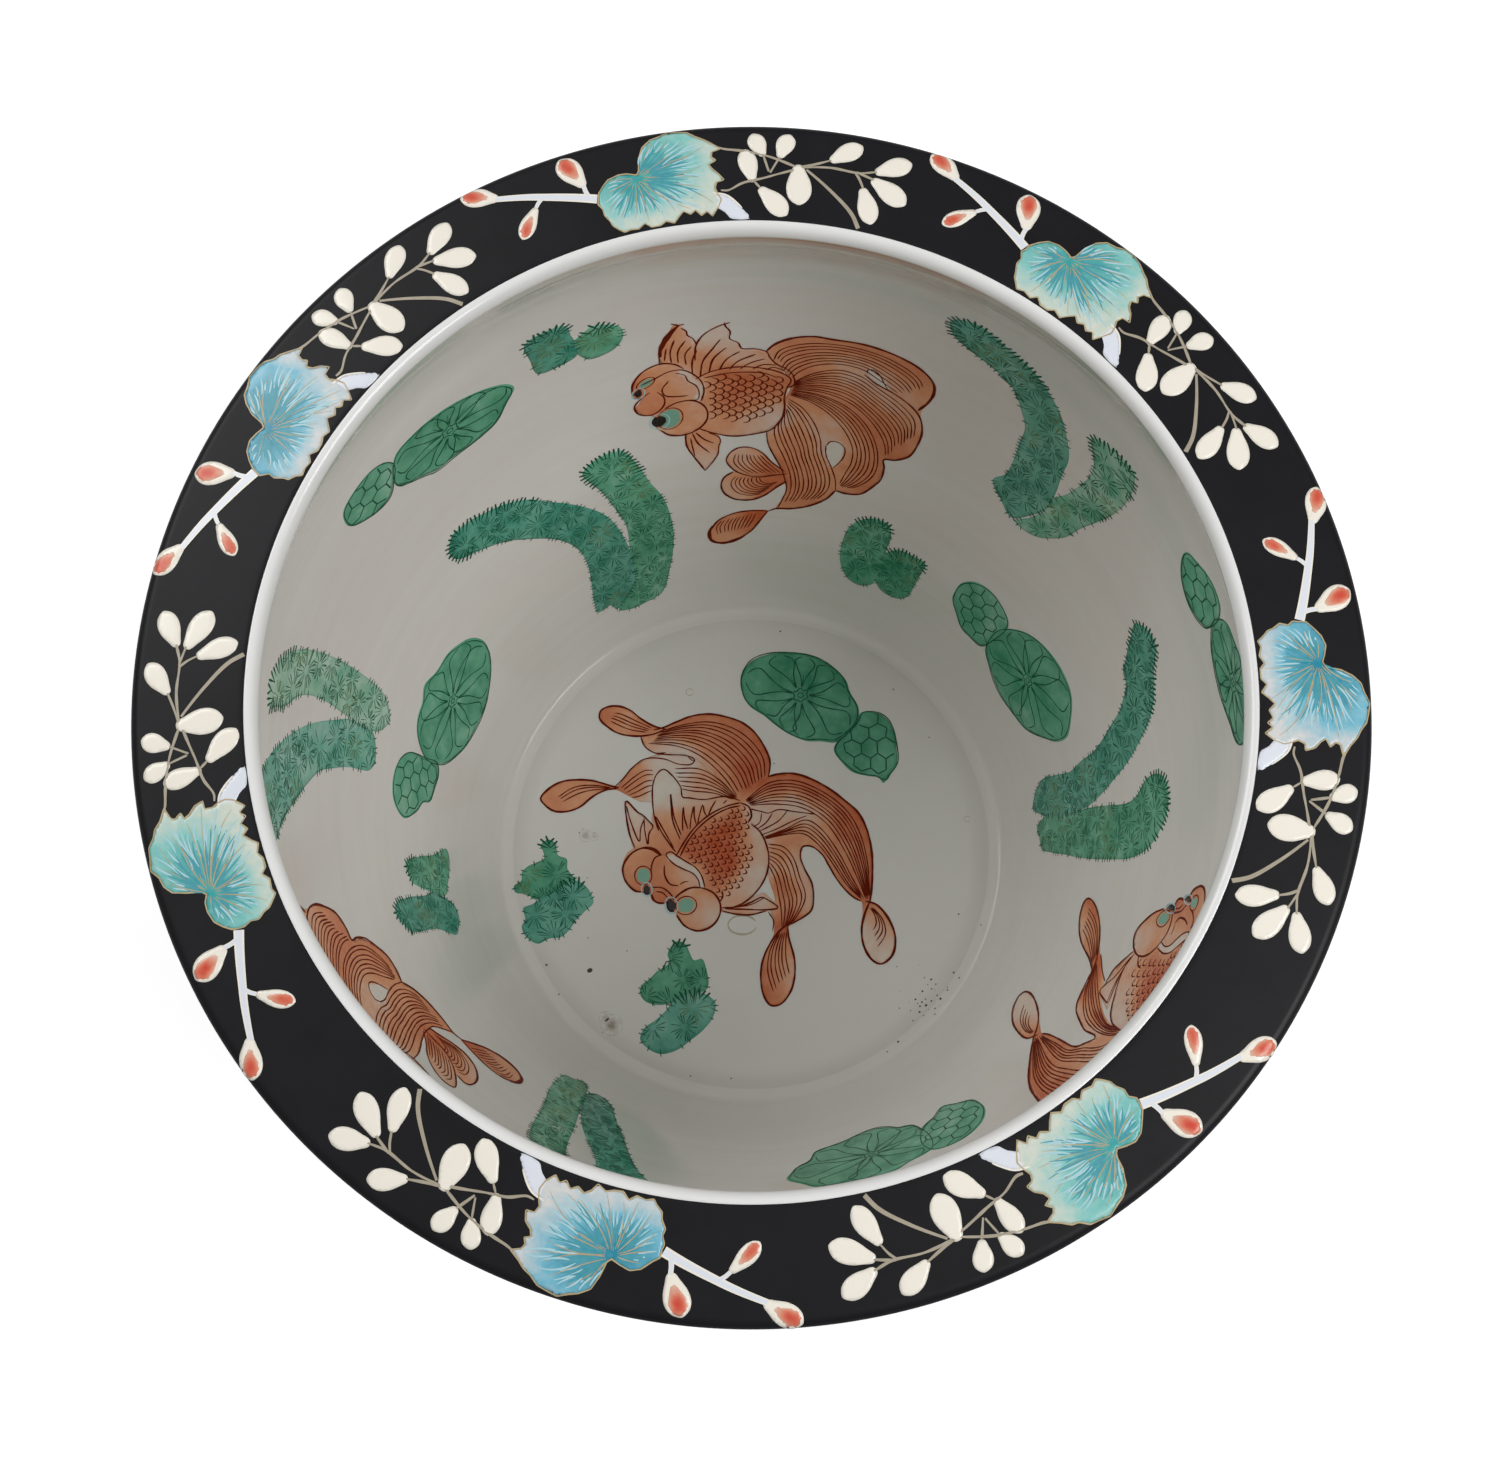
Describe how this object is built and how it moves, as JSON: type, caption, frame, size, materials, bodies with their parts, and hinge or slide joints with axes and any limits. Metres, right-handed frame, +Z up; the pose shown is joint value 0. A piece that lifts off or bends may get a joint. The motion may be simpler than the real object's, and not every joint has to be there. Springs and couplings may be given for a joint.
{
  "type": "chinese fish bowl jardiniere",
  "caption": "Deep round porcelain fish bowl with a flat black rim of vine sprays and a goldfish pond painted inside.",
  "frame": {"origin": "middle of the foot's flat underside", "axes": "+Z up along the bowl's own axis, and -Y towards the side nearest the viewer in the picture"},
  "size_m": [0.406, 0.406, 0.3208],
  "materials": {
    "porcelain": "clear gloss glaze over warm white porcelain",
    "bare_foot": "unglazed biscuit, fired a little buff",
    "black_ground": "satin black enamel ground",
    "iron_red": "thin iron-red wash with darker drawn lines",
    "green_enamel": "glossy translucent green enamel with dark brush strokes",
    "turquoise_enamel": "glossy raised turquoise enamel with pale edges",
    "pale_blue_enamel": "opaque pale blue and white enamel",
    "cream_enamel": "opaque cream enamel"
  },
  "bodies": {
    "root": {"foot_ring": "bare_foot", "floor_slab": "porcelain", "lower_wall": "porcelain", "middle_wall": "porcelain", "upper_wall": "porcelain", "rim_flange": "porcelain", "rim_black_coat": "black_ground", "shoulder_black_coat": "black_ground", "body_black_coat": "black_ground", "wall_fish_1": "iron_red", "wall_fish_2": "iron_red", "wall_fish_3": "iron_red", "floor_fish": "iron_red", "low_tall_weed_1": "green_enamel", "low_tall_weed_2": "green_enamel", "low_tall_weed_3": "green_enamel", "high_tall_weed_1": "green_enamel", "high_tall_weed_2": "green_enamel", "high_tall_weed_3": "green_enamel", "low_small_weed_1": "green_enamel", "low_small_weed_2": "green_enamel", "low_small_weed_3": "green_enamel", "high_small_weed_1": "green_enamel", "high_small_weed_2": "green_enamel", "high_small_weed_3": "green_enamel", "low_lily_pads_1": "green_enamel", "low_lily_pads_2": "green_enamel", "low_lily_pads_3": "green_enamel", "high_lily_pads_1": "green_enamel", "high_lily_pads_2": "green_enamel", "high_lily_pads_3": "green_enamel", "floor_lily_pads": "green_enamel", "floor_weed_1": "green_enamel", "floor_weed_2": "green_enamel", "rim_leaf_1": "turquoise_enamel", "rim_leaf_2": "turquoise_enamel", "rim_leaf_3": "turquoise_enamel", "rim_leaf_4": "turquoise_enamel", "rim_leaf_5": "turquoise_enamel", "rim_leaf_6": "turquoise_enamel", "rim_leaf_7": "turquoise_enamel", "rim_twig_1": "pale_blue_enamel", "rim_twig_2": "pale_blue_enamel", "rim_twig_3": "pale_blue_enamel", "rim_twig_4": "pale_blue_enamel", "rim_twig_5": "pale_blue_enamel", "rim_twig_6": "pale_blue_enamel", "rim_twig_7": "pale_blue_enamel", "rim_berries_1": "cream_enamel", "rim_berries_2": "cream_enamel", "rim_berries_3": "cream_enamel", "rim_berries_4": "cream_enamel", "rim_berries_5": "cream_enamel", "rim_berries_6": "cream_enamel", "rim_berries_7": "cream_enamel", "outer_spray_1": "turquoise_enamel", "outer_spray_2": "turquoise_enamel", "outer_spray_3": "turquoise_enamel"}
  },
  "joints": []
}
